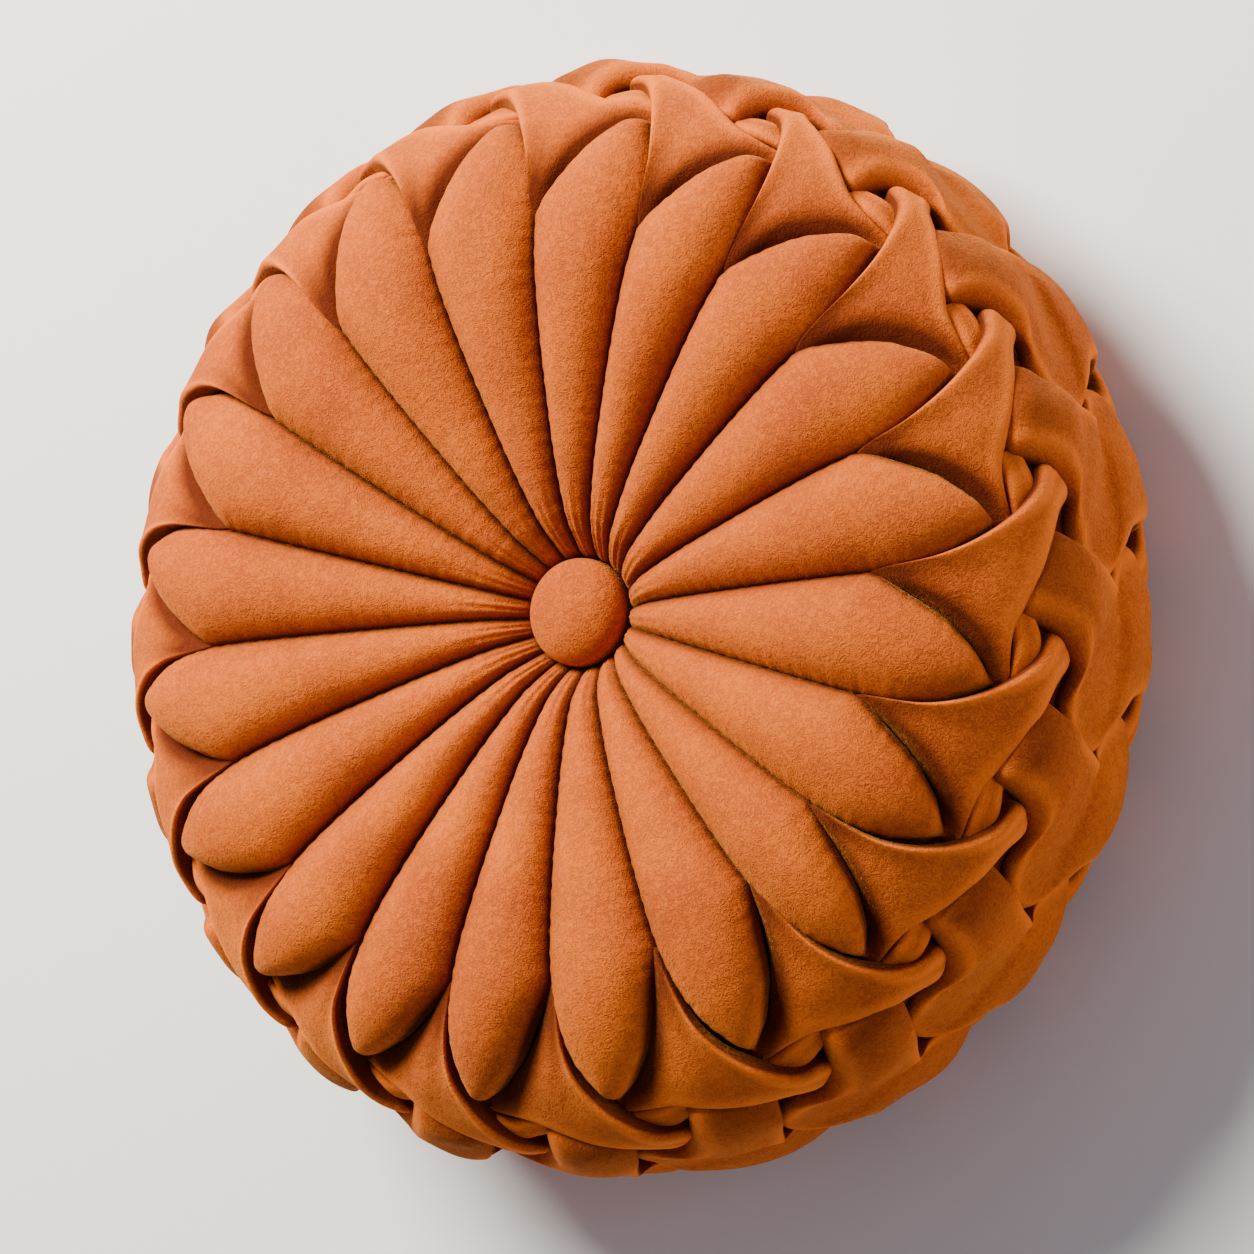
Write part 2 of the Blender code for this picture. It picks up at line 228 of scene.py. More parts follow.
ButtonRing = namedtuple("ButtonRing", "radius height")
BUTTON = (
    ButtonRing(0.0, 46.2),
    ButtonRing(5.2, 45.8),
    ButtonRing(10.4, 44.5),
    ButtonRing(15.0, 42.0),
    ButtonRing(17.7, 38.6),
    ButtonRing(18.5, 35.0),
    ButtonRing(18.1, 31.0),
    ButtonRing(16.4, 28.9),
    ButtonRing(0.0, 28.9),
)

# The photograph's view: the lean away from the cushion's axis, the side it leans to, the
# distance, and how the picture is framed.
VIEW_LEAN = 32.0
VIEW_SIDE = -9.0
VIEW_DISTANCE = 3.0
VIEW_LENS = 251.57
PICTURE_SCALE = 2921.0
CENTRE_AT = (7.0, 6.0)


# The velvet's grain: the nap's curls to a metre, the brushed patches and the soft unevenness,
# with the height of the curls and of the unevenness.
CURL_SCALE = 520.0
CURL_WIDTH = 0.16
BRUSHED_SCALE = 16.0
UNEVEN_SCALE = 95.0
CURL_HEIGHT = 0.4 * MM
UNEVEN_HEIGHT = 1.6 * MM

# The lamps: the key light's place in the picture's axes, toward the camera, to the right and
# up from the cushion's middle, in metres, and the side light's place in the room.
KEY_TOWARD = 0.55
KEY_RIGHT = -1.30
KEY_UP = 1.15
SIDE_LIGHT_AT = (1.25, 0.05, 0.40)


class CushionShape(bpy.types.PropertyGroup):
    """Sizes that change how full and how creased the cushion looks."""

    pucker: FloatProperty(
        name="Seam pucker",
        description="Height of the small puckers along each sewn seam",
        default=0.25 * MM,
        unit="LENGTH",
    )
    wrinkle: FloatProperty(
        name="Side wrinkles",
        description="Height of the soft wrinkles on the side panels",
        default=1.0 * MM,
        unit="LENGTH",
    )
    triangle_swell: FloatProperty(
        name="Triangle swell",
        description="How far a triangle's middle stands over its borders, or sags below them",
        default=-0.9 * MM,
        unit="LENGTH",
    )
    panel_swell: FloatProperty(
        name="Panel swell",
        description="How far a side panel's middle stands over its borders",
        default=2.4 * MM,
        unit="LENGTH",
    )
    unevenness: FloatProperty(
        name="Unevenness",
        description="How far the folds differ from one another, as a share",
        default=1.0,
        min=0.0,
        max=2.0,
    )
    button_sides: IntProperty(
        name="Button steps",
        description="Steps round a covered button",
        default=96,
    )


class CushionColours(bpy.types.PropertyGroup):
    """Colours of the velvet, of the painted shade in its creases, and of the floor."""

    nap: FloatVectorProperty(
        name="Velvet",
        description="Colour of the velvet where it faces the light",
        subtype="COLOR",
        default=(0.60, 0.121, 0.011),
    )
    shade: FloatVectorProperty(
        name="Laid nap",
        description="Colour where the nap is brushed the other way",
        subtype="COLOR",
        default=(0.41, 0.072, 0.013),
    )
    # Painted shade: the velvet darkens to this colour deep in the creases and dips.
    crease_shade: FloatVectorProperty(
        name="Crease",
        description="Colour deep in the creases",
        subtype="COLOR",
        default=(0.085, 0.012, 0.005),
    )
    sheen: FloatVectorProperty(
        name="Sheen",
        description="Tint of the sheen at the folds",
        subtype="COLOR",
        default=(1.0, 0.38, 0.07),
    )
    floor: FloatVectorProperty(
        name="Floor",
        description="Colour of the floor",
        subtype="COLOR",
        default=(0.94, 0.95, 0.97),
    )


def ease(value, start, end):
    """Smooth step from 0 at start to 1 at end."""
    share = np.clip((value - start) / (end - start), 0.0, 1.0)
    return share * share * (3.0 - 2.0 * share)


def smooth_rows(rows, at):
    """Values of a table between its rows, on smooth curves through every row."""
    table = np.array(rows, dtype=float)
    last = len(table) - 1
    at = np.clip(at, 0.0, last)
    low = np.minimum(at.astype(int), last - 1)
    part = (at - low)[:, None]
    slopes = np.gradient(table, axis=0)
    start, end = table[low], table[low + 1]
    leave, arrive = slopes[low], slopes[low + 1]
    square, cube = part * part, part ** 3
    point = (2 * cube - 3 * square + 1) * start + (cube - 2 * square + part) * leave
    return point + (3 * square - 2 * cube) * end + (cube - square) * arrive


def section_curve():
    """The whole section as dense marks, points and outward directions."""
    marks = np.array([station.mark for station in HALF_SECTION])
    points = np.array([station[1:] for station in HALF_SECTION])
    slopes = np.empty_like(points)
    slopes[0] = (points[1] - points[0]) / (marks[1] - marks[0])
    slopes[-1] = (0.0, -10.4)
    slopes[1:-1] = (points[2:] - points[:-2]) / (marks[2:] - marks[:-2])[:, None]
    dense = np.linspace(marks[0], marks[-1], 1200)
    low = np.clip(np.searchsorted(marks, dense, side="right") - 1, 0, len(marks) - 2)
    span = (marks[low + 1] - marks[low])[:, None]
    part = ((dense - marks[low])[:, None]) / span
    square, cube = part * part, part ** 3
    curve = (2 * cube - 3 * square + 1) * points[low]
    curve += (cube - 2 * square + part) * slopes[low] * span
    curve += (3 * square - 2 * cube) * points[low + 1]
    curve += (cube - square) * slopes[low + 1] * span
    marks = np.concatenate([dense, 2 * MID_STATION - dense[-2::-1]])
    curve = np.concatenate([curve, curve[-2::-1] * (1.0, -1.0)])
    along = np.gradient(curve, axis=0)
    along /= np.linalg.norm(along, axis=1)[:, None]
    return marks, curve, np.column_stack([-along[:, 1], along[:, 0]])


def seam_curve():
    """The seams' shifts as dense turns and values, right round the cushion."""
    shifts = np.array(SEAM_SHIFTS)
    shifts = np.concatenate([shifts[-2:], shifts, shifts[:3]])
    at = np.arange(0.0, len(shifts) - 0.99, 0.05)
    return SEAM_ANGLE + (at - 2.0) * PITCH, smooth_rows(shifts, at)


def place(turn, mark, rise, back=False):
    """World positions of places on the cushion; the back is the front turned over."""
    round_turn = SEAM_ANGLE + np.mod(turn - SEAM_ANGLE, 360.0)
    shift_turn = np.interp(round_turn, SEAM_TURNS, SEAM_VALUES[:, 0])
    shift_mark = np.interp(round_turn, SEAM_TURNS, SEAM_VALUES[:, 1])
    turn = turn + shift_turn * (1.0 - ease(mark, 15.0, 22.0))
    mark = mark + shift_mark * ease(mark, 8.5, 13.35) * (1.0 - ease(mark, 13.35, 17.5))
    if back:
        rise = rise - BACK_SINK * ease(mark, 17.0, 20.0)
        mark = mark - BACK_DRAW * ease(mark, 15.0, 20.0)
        turn, mark = BACK_TURN - turn, 2 * MID_STATION - mark
    radius = np.interp(mark, SECTION_MARKS, SECTION_POINTS[:, 0])
    height = np.interp(mark, SECTION_MARKS, SECTION_POINTS[:, 1])
    out = np.interp(mark, SECTION_MARKS, SECTION_OUT[:, 0])
    upward = np.interp(mark, SECTION_MARKS, SECTION_OUT[:, 1])
    radius = (radius + out * rise) * MM
    height = MID_PLANE + (height + upward * rise) * MM
    angle = np.radians(turn)
    spots = np.stack([radius * np.cos(angle), radius * np.sin(angle), height], axis=-1)
    spots[..., 2] = np.maximum(spots[..., 2], 0.0)
    return spots


SECTION_MARKS, SECTION_POINTS, SECTION_OUT = section_curve()
SEAM_TURNS, SEAM_VALUES = seam_curve()


def ripples(across, along, seed, count=6, low=0.5, high=2.2):
    """Soft seeded waves over two coordinates, within about -1 and 1."""
    chance = np.random.default_rng(seed)
    total = np.zeros(np.broadcast(across, along).shape)
    for _ in range(count):
        pace = chance.uniform(low, high)
        heading = chance.uniform(0.0, 2 * pi)
        phase = chance.uniform(0.0, 2 * pi)
        total += np.sin(pace * (across * cos(heading) + along * sin(heading)) + phase)
    return total / count ** 0.5 * 0.7


def sculpt_grid(mesh, across, along, spots, shade_and_shine):
    """Adds a grid, moves its vertices to their spots and closes it where they meet."""
    before = len(mesh.verts)
    made = bmesh.ops.create_grid(mesh, x_segments=across, y_segments=along, size=1.0)
    # Each vertex keeps its weight of painted shade and painted highlight.
    layer = mesh.verts.layers.float["painted_shade_and_highlight"]
    spots, shade_and_shine = spots.reshape(-1, 3), shade_and_shine.reshape(-1)
    for vert in made["verts"]:
        column = round((vert.co.x + 1.0) * 0.5 * across)
        row = round((vert.co.y + 1.0) * 0.5 * along)
        index = row * (across + 1) + column
        vert[layer] = shade_and_shine[index]
        vert.co = spots[index]
    bmesh.ops.remove_doubles(mesh, verts=mesh.verts[before:], dist=1e-6)


def new_mesh():
    mesh = bmesh.new()
    # The layer of painted shade and painted highlight that the velvet reads.
    mesh.verts.layers.float.new("painted_shade_and_highlight")
    return mesh


def finished(name, mesh, material):
    """Turns a bmesh into a piece that rides on the cushion."""
    bmesh.ops.recalc_face_normals(mesh, faces=mesh.faces[:])
    data = bpy.data.meshes.new(name)
    mesh.to_mesh(data)
    mesh.free()
    data.shade_smooth()
    data.materials.append(material)
    piece = bpy.data.objects.new(name, data)
    bpy.context.scene.collection.objects.link(piece)
    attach(piece, BODY)
    return piece


def fold_places(kind, swell, number, uneven):
    """Places and weights of painted shade and highlight over one fold, as a grid from end to end
    and right round.
    """
    rows, steps, round_steps, seed = kind.rows, kind.steps, kind.round_steps, kind.seed
    count = len(rows)
    dense = smooth_rows(rows, np.linspace(0, count - 1, 400))
    scale = np.array(SIDE_SCALE)
    travel = np.linalg.norm(np.diff(dense[:, :3] * scale, axis=0), axis=1)
    travel += np.linalg.norm(np.diff(dense[:, 3:6] * scale, axis=0), axis=1)
    travel = np.concatenate([[0.0], np.cumsum(travel)])
    share = np.linspace(0.0, 1.0, steps + 1)
    at = np.interp(share * travel[-1], travel, np.linspace(0, count - 1, 400))
    row = smooth_rows(rows, at)
    chance = np.random.default_rng(seed * 100 + number)
    drift = chance.normal(0.0, 1.0, (DRIFT_WAVES, len(ROW_DRIFT))) * uneven
    waves = np.stack([
        np.sin((wave + 1) * pi * share + 1.7 * wave) / (wave + 1) for wave in range(DRIFT_WAVES)
    ])
    row = row + np.einsum("ks,kc->sc", waves, drift) * np.array(ROW_DRIFT)
    low, top = row[:, None, 0:3], row[:, None, 3:6]
    wide = np.linalg.norm((top - low)[:, 0, :2] * scale[:2], axis=1)
    roll_low = np.minimum(row[:, 6], wide * 0.5)
    roll_top = np.minimum(row[:, 7], wide * 0.5)
    end = np.minimum(share, 1.0 - share) / END_SHARE
    taper = np.sqrt(1.0 - np.clip(1.0 - end, 0.0, 1.0) ** 2)
    over_steps = int(round_steps * TOP_SHARE)
    over = 0.5 - 0.5 * np.cos(pi * np.linspace(0, 1, over_steps + 1))
    under = 0.5 + 0.5 * np.cos(pi * np.linspace(0, 1, round_steps - over_steps + 1))
    across = np.concatenate([over, under[1:]])
    below = np.concatenate([np.zeros(len(over), bool), np.ones(len(under) - 1, bool)])
    across, below = across[None, :], below[None, :]
    from_low = across * wide[:, None]
    from_top = (1.0 - across) * wide[:, None]
    drop = np.zeros_like(from_low)
    for gap, roll in ((from_low, roll_low), (from_top, roll_top)):
        reach = np.maximum(roll[:, None], 1e-4)
        inside = np.clip(reach - gap, 0.0, None)
        drop = np.maximum(drop, reach - np.sqrt(np.maximum(reach ** 2 - inside ** 2, 0.0)))
    roll_here = roll_low[:, None] * (1 - across) + roll_top[:, None] * across
    crown = swell / MM * np.minimum(wide / 30.0, 1.0)[:, None] * (4 * across * (1 - across))
    sunk = FOLD_SINK * np.clip(4 * across * (1 - across), 0, 1) ** 0.5
    lift = np.where(below, drop - 2.0 * roll_here - sunk, crown - drop)
    spread = 0.5 + (across - 0.5) * taper[:, None]
    spot = low + (top - low) * spread[..., None]
    lift = (lift + roll_here) * taper[:, None] - roll_here
    turn, mark = spot[..., 0], spot[..., 1]
    rise = low[..., 2] + (top - low)[..., 2] * np.clip(spread, 0.0, 1.0) ** DIP + lift
    # Painted shade: full on the fold's underside, and growing over its rolled borders as they turn
    # under.
    shade_and_shine = np.where(below, 1.0, np.clip(drop / np.maximum(roll_here, 1e-4), 0, 1) ** 2)
    # Painted shade in each triangle's dip beside the petal, where it falls away toward its upper
    # border.
    if kind.rows is TRIANGLE:
        fall = np.clip((top - low)[..., 2] * -0.15, 0.0, 1.0)
        covered = 0.36 * (1.0 - ease(at, 2.0, 4.2))[:, None]
        shade_and_shine = np.maximum(shade_and_shine, DIP_SHADE * fall * ease(across + covered, 0.28, 0.92))
    # Painted shade over the panels' tucked ends, next to the triangle's ridge.
    if kind.rows is SIDE_PANEL:
        tucked = (1.0 - ease(at, 0.5, 3.6))[:, None] * ease(across, 0.05, 0.45)
        shade_and_shine = np.maximum(shade_and_shine, TUCK_SHADE * tucked)
    # Painted highlight along the top of each rolled border, on the fold's upper side.
    from_edge = np.minimum(from_low - roll_low[:, None], from_top - roll_top[:, None])
    rim_highlight = RIM_SHINE * np.exp(-((from_edge + 0.5) / 3.0) ** 2) * ~below
    return turn, mark, rise, shone(shade_and_shine, rim_highlight)


def shone(shade_and_shine, rim_highlight):
    """Painted shade weights with the rims' painted highlight taken off them, where they aren't
    deep in the creases.
    """
    return np.where(shade_and_shine < SHINE_LIMIT, shade_and_shine - rim_highlight * (1.0 - shade_and_shine / SHINE_LIMIT), shade_and_shine)


def build_folds(kind, swell, wrinkle):
    """All twenty folds of one kind, each a closed roll of velvet."""
    uneven = bpy.context.scene.cushion_shape.unevenness
    material = cushion_velvet("burnt_orange_velvet")
    mesh = new_mesh()
    for number in range(REPEATS):
        turn, mark, rise, shade_and_shine = fold_places(kind, swell, number, uneven)
        waves = ripples(turn * 0.55, mark * 2.2, kind.seed * 1000 + number, low=0.4, high=1.9)
        spots = place(turn + number * PITCH, mark, rise + wrinkle / MM * waves, kind.back)
        sculpt_grid(mesh, kind.round_steps, kind.steps, spots, shade_and_shine)
    piece = finished(kind.name, mesh, material)
    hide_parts(COVER_NODE)
    return piece


def velvet(name, nap, shade, crease_shade, sheen):
    """Plush velvet: short curly nap, brushed patches, painted shade in the creases, painted
    highlight on the rims and a warm sheen.
    """
    material = bpy.data.materials.new(name)
    material.use_nodes = True
    nodes, links = material.node_tree.nodes, material.node_tree.links
    shader = nodes["Principled BSDF"]
    where = nodes.new("ShaderNodeTexCoord").outputs["Object"]

    def noise(scale, detail, distortion, rough=0.5):
        node = nodes.new("ShaderNodeTexNoise")
        node.inputs["Scale"].default_value = scale
        node.inputs["Detail"].default_value = detail
        node.inputs["Distortion"].default_value = distortion
        node.inputs["Roughness"].default_value = rough
        links.new(where, node.inputs["Vector"])
        return node.outputs["Fac"]

    def stretched(source, low, high, start=0.0, end=1.0):
        node = nodes.new("ShaderNodeMapRange")
        node.inputs["From Min"].default_value = low
        node.inputs["From Max"].default_value = high
        node.inputs["To Min"].default_value = start
        node.inputs["To Max"].default_value = end
        links.new(source, node.inputs["Value"])
        return node.outputs["Result"]

    def blended(factor, first, second):
        node = nodes.new("ShaderNodeMix")
        node.data_type = "RGBA"
        links.new(factor, node.inputs["Factor"])
        for socket, value in ((node.inputs[6], first), (node.inputs[7], second)):
            if isinstance(value, bpy.types.NodeSocket):
                links.new(value, socket)
            else:
                socket.default_value = (*value, 1.0)
        return node.outputs[2]

    curl = nodes.new("ShaderNodeMath")
    curl.operation = "PINGPONG"
    curl.inputs[1].default_value = CURL_WIDTH
    links.new(noise(CURL_SCALE, 2.0, 1.2), curl.inputs[0])
    nap_curl = stretched(curl.outputs[0], 0.0, CURL_WIDTH)
    brushed = noise(BRUSHED_SCALE, 3.0, 0.8)
    light = tuple(min(1.0, part * 1.25) for part in nap)
    # Painted highlight colour for the rims, brighter than the nap.
    rim_highlight = tuple(min(1.0, part * 1.55) for part in nap)
    base = blended(stretched(brushed, 0.34, 0.66), shade, nap)
    base = blended(stretched(nap_curl, 0.55, 1.0, 0.0, 0.60), base, light)
    base = blended(stretched(nap_curl, 0.45, 0.0, 0.0, 0.75), base, shade)
    # Painted shade toward the crease colour where the attribute is high, painted highlight toward
    # the rim colour where it is below zero.
    shade_and_shine = nodes.new("ShaderNodeAttribute")
    shade_and_shine.attribute_name = "painted_shade_and_highlight"
    base = blended(stretched(shade_and_shine.outputs["Fac"], 0.04, 0.70, 0.0, 0.93), base, crease_shade)
    base = blended(stretched(shade_and_shine.outputs["Fac"], 0.0, -1.0, 0.0, 1.0), base, rim_highlight)
    links.new(base, shader.inputs["Base Color"])
    rough = stretched(nap_curl, 0.3, 0.7, 0.95, 0.72)
    links.new(rough, shader.inputs["Roughness"])
    shader.inputs["Metallic"].default_value = 0.0
    shader.inputs["Specular IOR Level"].default_value = 0.03
    shader.inputs["Sheen Weight"].default_value = 0.40
    shader.inputs["Sheen Roughness"].default_value = 0.38
    shader.inputs["Sheen Tint"].default_value = (*sheen, 1.0)
    bump = nodes.new("ShaderNodeBump")
    bump.inputs["Strength"].default_value = 0.55
    bump.inputs["Distance"].default_value = CURL_HEIGHT
    links.new(nap_curl, bump.inputs["Height"])
    soft = nodes.new("ShaderNodeBump")
    soft.inputs["Strength"].default_value = 0.35
    soft.inputs["Distance"].default_value = UNEVEN_HEIGHT
    links.new(noise(UNEVEN_SCALE, 2.0, 0.6), soft.inputs["Height"])
    links.new(bump.outputs["Normal"], soft.inputs["Normal"])
    links.new(soft.outputs["Normal"], shader.inputs["Normal"])
    return material


def cushion_velvet(name):
    """The cushion's velvet, made once for each name."""
    colours = bpy.context.scene.cushion_colours
    kept = bpy.data.materials.get(name)
    if kept is None:
        kept = velvet(name, colours.nap, colours.shade, colours.crease_shade, colours.sheen)
    return kept


def petal_grid(back):
    """Places and weights of painted shade and highlight over one face, from the button's pocket to
    the hollow's middle.
    """
    crown_x = np.linspace(0.0, 1.0, 21)
    crown_x = 0.5 - 0.5 * np.cos(pi * crown_x) * (0.75 + 0.25 * np.cos(pi * crown_x) ** 2)
    marks = np.concatenate([
        np.linspace(1.9, 2.5, 7)[:-1],
        np.linspace(2.5, 13.2, 92)[:-1],
        np.linspace(13.2, 18.3, 56)[:-1],
        np.linspace(18.3, 22.9, 10),
    ])
    row_marks = np.array([row.mark for row in PETAL_ROWS])
    at = np.interp(marks, row_marks, np.arange(len(row_marks)))
    row = smooth_rows(PETAL_ROWS, at)
    for column, value in ((1, 3.65), (2, 21.65)):
        row[marks < 13.2, column] = value
    columns = []
    pucker = bpy.context.scene.cushion_shape.pucker / MM
    open_up = ease(marks, 13.2, 14.6)[:, None]
    gone = ease(marks, 17.7, 18.4)[:, None]
    for number in range(REPEATS):
        chance = np.random.default_rng(900 + number + 50 * back)
        left, right = row[:, 1:2], row[:, 2:3]
        crest = row[:, 4:5] + chance.normal(0.0, 0.30) * ease(marks, 3.0, 8.0)[:, None]
        x = crown_x[None, :]
        low = np.where(x < 0.5, row[:, 3:4], row[:, 5:6])
        lean = np.abs(2.0 * x ** 1.08 - 1.0)
        swell = (1.0 - np.clip(lean, 0, 1) ** 2.3) ** 0.76
        rise = low + (crest - low) * swell
        turn = left + (right - left) * x
        radius = np.interp(marks, SECTION_MARKS, SECTION_POINTS[:, 0])[:, None]
        from_seam = np.minimum(x, 1.0 - x) * np.radians(right - left) * radius
        wave = np.sin(marks[:, None] * 2 * pi / 0.62 + chance.uniform(0, 6.28))
        wave = wave + 0.6 * np.sin(marks[:, None] * 2 * pi / 0.41 + chance.uniform(0, 6.28))
        rise = rise + pucker * wave * np.exp(-from_seam / 3.0) * ease(marks, 2.6, 4.0)[:, None]
        soft = ripples(turn * 0.22, marks[:, None] * 0.9, 300 + number, low=0.6, high=1.8)
        rise = rise + 0.35 * soft * ease(from_seam, 0.0, 6.0)
        gather = np.sin(turn * 1.3 + 3.0 * chance.uniform(0, 6.28))
        near = ease(marks, 2.2, 2.9) * (1.0 - ease(marks, 3.4, 6.0))
        rise = rise + 0.35 * gather * near[:, None] * ease(from_seam, 0.0, 2.0)
        # Painted shade down the seams and across each petal toward them, and round the button's
        # pocket; painted highlight a little inside each petal's borders where the petals part.
        shade_and_shine = np.maximum(0.95 * np.exp(-from_seam / 1.3), SEAM_SHADE * (1.0 - swell) ** 1.1)
        shade_and_shine = np.maximum(shade_and_shine, (1.0 - ease(marks, 2.0, 2.9))[:, None] * 0.8)
        rim_highlight = PETAL_SHINE * np.exp(-((from_seam - 3.2) / 1.6) ** 2) * open_up
        shade_and_shine = shone(shade_and_shine, rim_highlight)
        after = left + PITCH
        edge = row[:, 5:6]
        gap_turns, gap_rises = [], []
        for step in PETAL_GAP:
            across_gap = right + (after - right) * step.share
            gap_turns.append(across_gap + step.nudge * open_up + step.groove * (1 - open_up))
            fall = VALLEY - edge if step.fall is None else step.fall
            gap_rises.append(edge + fall * open_up - 1.0 * (1 - open_up))
        valley_turn = np.concatenate(gap_turns, axis=1)
        valley_rise = np.concatenate(gap_rises, axis=1)
        turn = np.concatenate([turn, valley_turn], axis=1)
        rise = np.concatenate([rise, valley_rise], axis=1)
        rise = rise * (1 - gone) + HOLLOW * gone
        # Painted shade over the gaps between the petals' ends and in the hollow beyond them.
        shade_and_shine = np.concatenate([shade_and_shine, np.ones_like(valley_turn)], axis=1)
        shade_and_shine = np.maximum(shade_and_shine, gone)
        columns.append((turn + number * PITCH, rise, shade_and_shine))
    turn = np.concatenate([column[0] for column in columns], axis=1)
    rise = np.concatenate([column[1] for column in columns], axis=1)
    shade_and_shine = np.concatenate([column[2] for column in columns], axis=1)
    mark = np.repeat(marks[:, None], turn.shape[1], axis=1)
    return turn, mark, rise, shade_and_shine


def pole_row(spots, height):
    return np.broadcast_to(np.array([0.0, 0.0, height]), spots.shape).copy()


class CUSHION_OT_petals(bpy.types.Operator):
    """Build the filled body: both faces of petals and the hollow under the folds"""

    bl_idname = "cushion.petals"
    bl_label = "Petals"

    def execute(self, context):
        turn, mark, rise, shade_and_shine = petal_grid(False)
        front = place(turn, mark, rise)
        turn_back, mark_back, rise_back, shade_and_shine_back = petal_grid(True)
        back = place(turn_back, mark_back, rise_back, back=True)
        order = turned_order(turn_back, turn)
        back, shade_and_shine_back = back[:, order], shade_and_shine_back[:, order]
        spots = np.concatenate([
            pole_row(front[:1], MID_PLANE + POCKET_FLOOR * MM),
            front,
            back[::-1],
            pole_row(back[:1], MID_PLANE - POCKET_FLOOR * MM),
        ])
        # Full painted shade at the pockets' floors.
        ones = np.ones_like(shade_and_shine[:1])
        shades_and_shines = np.concatenate([ones, shade_and_shine, shade_and_shine_back[::-1], ones])
        spots = np.concatenate([spots, spots[:, :1]], axis=1)
        shades_and_shines = np.concatenate([shades_and_shines, shades_and_shines[:, :1]], axis=1)
        mesh = new_mesh()
        sculpt_grid(mesh, spots.shape[1] - 1, spots.shape[0] - 1, spots, shades_and_shines)
        piece = finished("petal_body", mesh, cushion_velvet("burnt_orange_velvet"))
        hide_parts(COVER_NODE)
        return {"FINISHED"}


def turned_order(turn_back, turn):
    """Column order of the back that runs round the same way as the front's columns."""
    angle_back = np.mod(BACK_TURN - turn_back[-1], 360.0)
    first = np.mod(turn[-1, 0], 360.0)
    return np.argsort(np.mod(angle_back - first + 9.0, 360.0), kind="stable")


class CUSHION_OT_triangles(bpy.types.Operator):
    """Build the front's twenty folded triangles with their tails"""

    bl_idname = "cushion.triangles"
    bl_label = "Triangles"

    def execute(self, context):
        build_folds(TRIANGLES, context.scene.cushion_shape.triangle_swell, 0.25 * MM)
        return {"FINISHED"}


class CUSHION_OT_back_triangles(bpy.types.Operator):
    """Build the back's twenty folded triangles"""

    bl_idname = "cushion.back_triangles"
    bl_label = "Back Triangles"

    def execute(self, context):
        build_folds(BACK_TRIANGLES, context.scene.cushion_shape.triangle_swell, 0.25 * MM)
        return {"FINISHED"}


class CUSHION_OT_side_panels(bpy.types.Operator):
    """Build the twenty panels that lap round the side"""

    bl_idname = "cushion.side_panels"
    bl_label = "Side Panels"

    def execute(self, context):
        shape = context.scene.cushion_shape
        build_folds(SIDE_PANELS, shape.panel_swell, shape.wrinkle)
        return {"FINISHED"}


class CUSHION_OT_inner_flaps(bpy.types.Operator):
    """Build the small flaps of cloth in the hollows between the folds"""

    bl_idname = "cushion.inner_flaps"
    bl_label = "Inner Flaps"

    def execute(self, context):
        build_folds(INNER_FLAPS, 0.5 * MM, 0.1 * MM)
        return {"FINISHED"}


class CUSHION_OT_buttons(bpy.types.Operator):
    """Build the covered buttons on the front and the back"""

    bl_idname = "cushion.buttons"
    bl_label = "Covered Buttons"

    def execute(self, context):
        sides = context.scene.cushion_shape.button_sides
        for node, side in (("front_button", 1.0), ("back_button", -1.0)):
            mesh = new_mesh()
            path = smooth_rows(BUTTON, np.linspace(0, len(BUTTON) - 1, 41))
            path[:, 0] = np.maximum(path[:, 0], 0.0)
            path[0, 0] = path[-1, 0] = 0.0
            verts = [mesh.verts.new((r * MM, 0.0, MID_PLANE + side * z * MM)) for r, z in path]
            edges = [mesh.edges.new(pair) for pair in zip(verts, verts[1:])]
            bmesh.ops.spin(
                mesh,
                geom=verts + edges,
                cent=(0.0, 0.0, 0.0),
                axis=(0.0, 0.0, 1.0),
                angle=2 * pi,
                steps=sides,
                use_merge=True,
            )
            bmesh.ops.remove_doubles(mesh, verts=mesh.verts[:], dist=1e-6)
            # Painted shade on the button's lower ring, down toward the pocket it sits in.
            layer = mesh.verts.layers.float["painted_shade_and_highlight"]
            for vert in mesh.verts:
                below = (38.0 * MM - side * (vert.co.z - MID_PLANE)) / (7.0 * MM)
                vert[layer] = min(max(below, 0.0), 0.8)
            material = cushion_velvet("burnt_orange_button")
            piece = finished(node + "_cover", mesh, material)
            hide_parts(node)
        return {"FINISHED"}


def area_light(name, place_at, target, size, power, colour=(1.0, 1.0, 1.0)):
    data = bpy.data.lights.new(name, "AREA")
    data.shape = "DISK"
    data.size = size
    data.energy = power
    data.color = colour
    light = bpy.data.objects.new(name, data)
    light.location = place_at
    direction = Vector(target) - Vector(place_at)
    light.rotation_euler = direction.to_track_quat("-Z", "Y").to_euler()
    bpy.context.scene.collection.objects.link(light)
    return light


def camera_axes():
    """The view direction with the picture's right and up, as the photograph is turned."""
    lean, side = radians(VIEW_LEAN), radians(VIEW_SIDE)
    toward = Vector((sin(lean) * cos(side), sin(lean) * sin(side), cos(lean)))
    level = Vector((-sin(side), cos(side), 0.0))
    right = (-toward).cross(level).normalized()
    upward = right.cross(-toward)
    picture_right = right * cos(-side) + upward * sin(-side)
    picture_up = -right * sin(-side) + upward * cos(-side)
    return toward, picture_right, picture_up


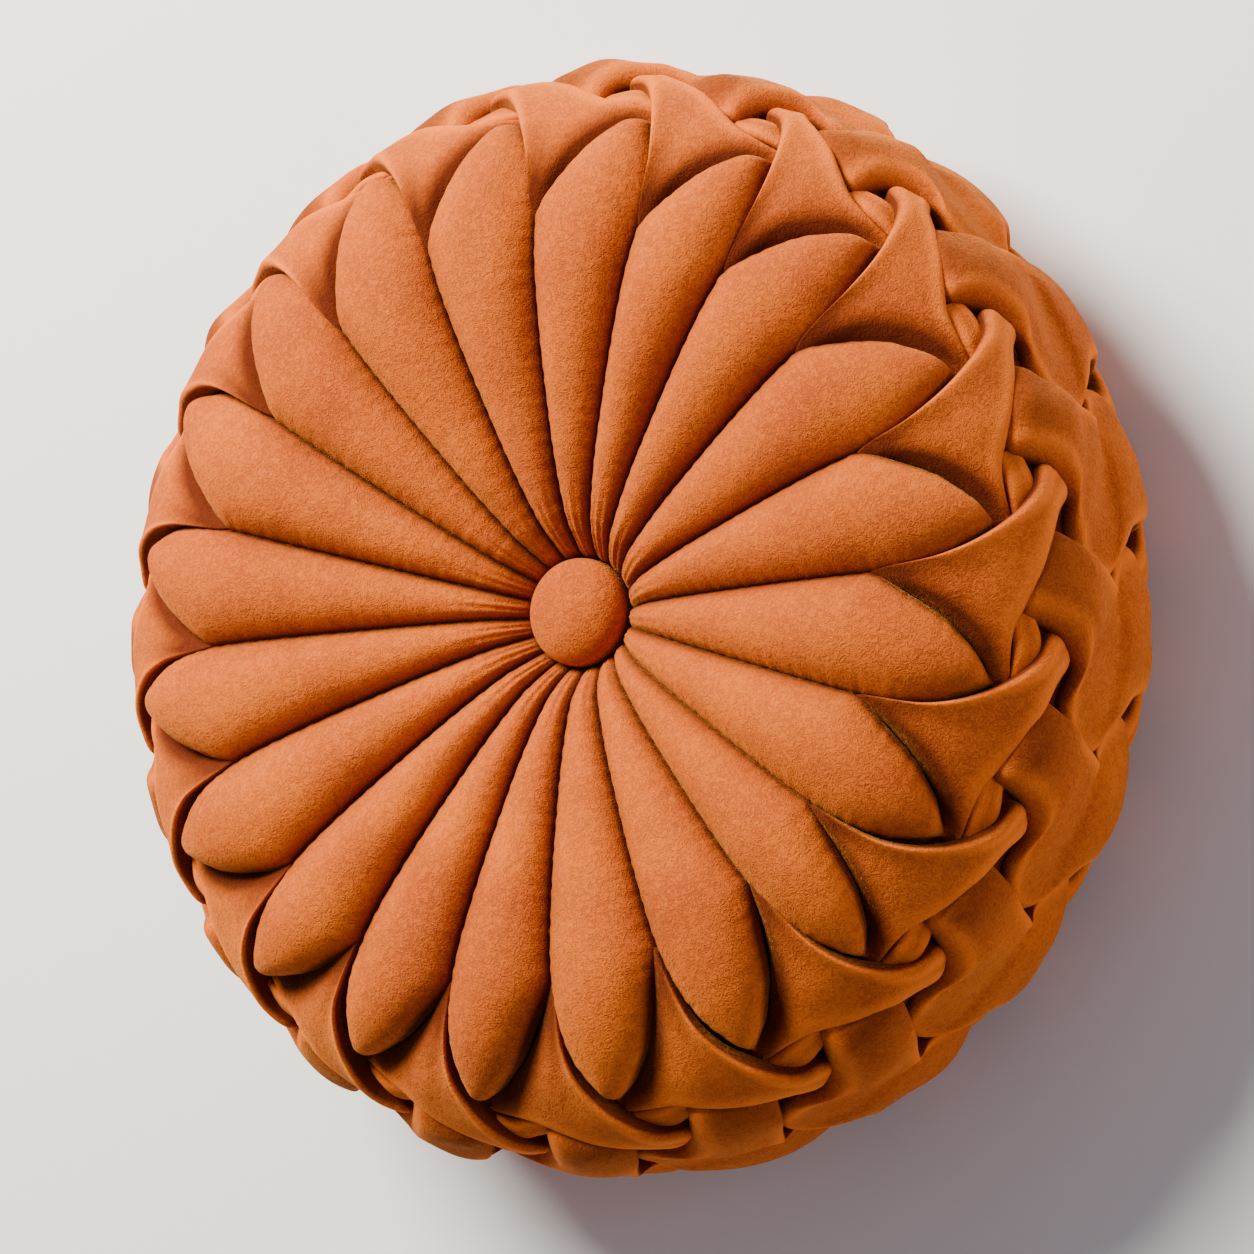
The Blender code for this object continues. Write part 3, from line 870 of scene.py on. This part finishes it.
class CUSHION_OT_stage(bpy.types.Operator):
    """Build the floor, the lights and the camera at the photograph's angle"""

    bl_idname = "cushion.stage"
    bl_label = "Stage"

    def execute(self, context):
        scene = context.scene
        toward, right, upward = camera_axes()
        middle = Vector((0.0, 0.0, MID_PLANE))
        data = bpy.data.cameras.new("photo_camera")
        data.lens = VIEW_LENS
        data.sensor_width = 36.0
        camera = bpy.data.objects.new("photo_camera", data)
        offset = (right * -CENTRE_AT[0] + upward * -CENTRE_AT[1]) / PICTURE_SCALE
        turned = Matrix((right, upward, toward)).transposed().to_4x4()
        camera.matrix_world = Matrix.Translation(middle + toward * VIEW_DISTANCE + offset) @ turned
        scene.collection.objects.link(camera)
        scene.camera = camera
        mesh = new_mesh()
        bmesh.ops.create_grid(mesh, x_segments=2, y_segments=2, size=4.0)
        data = bpy.data.meshes.new("studio_floor")
        mesh.to_mesh(data)
        mesh.free()
        floor = bpy.data.objects.new("studio_floor", data)
        material = bpy.data.materials.new("pale_floor")
        material.use_nodes = True
        shader = material.node_tree.nodes["Principled BSDF"]
        shader.inputs["Base Color"].default_value = (*scene.cushion_colours.floor, 1.0)
        shader.inputs["Roughness"].default_value = 0.9
        shader.inputs["Specular IOR Level"].default_value = 0.1
        data.materials.append(material)
        scene.collection.objects.link(floor)
        key = middle + toward * KEY_TOWARD + right * KEY_RIGHT + upward * KEY_UP
        area_light("key_light", key, middle, 1.0, 112.0, (1.0, 0.97, 0.84))
        area_light("side_light", SIDE_LIGHT_AT, middle, 0.5, 3.0, (1.0, 0.92, 0.95))
        world = bpy.data.worlds.new("studio")
        world.use_nodes = True
        background = world.node_tree.nodes["Background"]
        background.inputs["Color"].default_value = (0.90, 0.90, 1.0, 1.0)
        background.inputs["Strength"].default_value = 0.21
        scene.world = world
        return {"FINISHED"}


class CUSHION_PT_panel(bpy.types.Panel):
    """Lists the steps that build the cushion"""

    bl_label = "Round Pleated Cushion"
    bl_idname = "CUSHION_PT_panel"
    bl_space_type = "VIEW_3D"
    bl_region_type = "UI"
    bl_category = "Cushion"

    def draw(self, context):
        layout = self.layout
        shape, colours = context.scene.cushion_shape, context.scene.cushion_colours
        for name in ("pucker", "wrinkle", "triangle_swell", "panel_swell", "unevenness"):
            layout.prop(shape, name)
        for name in ("nap", "shade", "crease_shade", "sheen", "floor"):
            layout.prop(colours, name)
        for operator in OPERATORS:
            layout.operator(operator.bl_idname)


OPERATORS = (
    CUSHION_OT_petals,
    CUSHION_OT_triangles,
    CUSHION_OT_back_triangles,
    CUSHION_OT_side_panels,
    CUSHION_OT_inner_flaps,
    CUSHION_OT_buttons,
    CUSHION_OT_stage,
)
CLASSES = (CushionShape, CushionColours, *OPERATORS, CUSHION_PT_panel)


def register():
    for item in CLASSES:
        bpy.utils.register_class(item)
    bpy.types.Scene.cushion_shape = PointerProperty(type=CushionShape)
    bpy.types.Scene.cushion_colours = PointerProperty(type=CushionColours)


def unregister():
    del bpy.types.Scene.cushion_colours
    del bpy.types.Scene.cushion_shape
    for item in reversed(CLASSES):
        bpy.utils.unregister_class(item)


def main():
    register()
    bpy.ops.cushion.petals()
    bpy.ops.cushion.triangles()
    bpy.ops.cushion.back_triangles()
    bpy.ops.cushion.side_panels()
    bpy.ops.cushion.inner_flaps()
    bpy.ops.cushion.buttons()
    bpy.ops.cushion.stage()


if __name__ == "__main__":
    main()
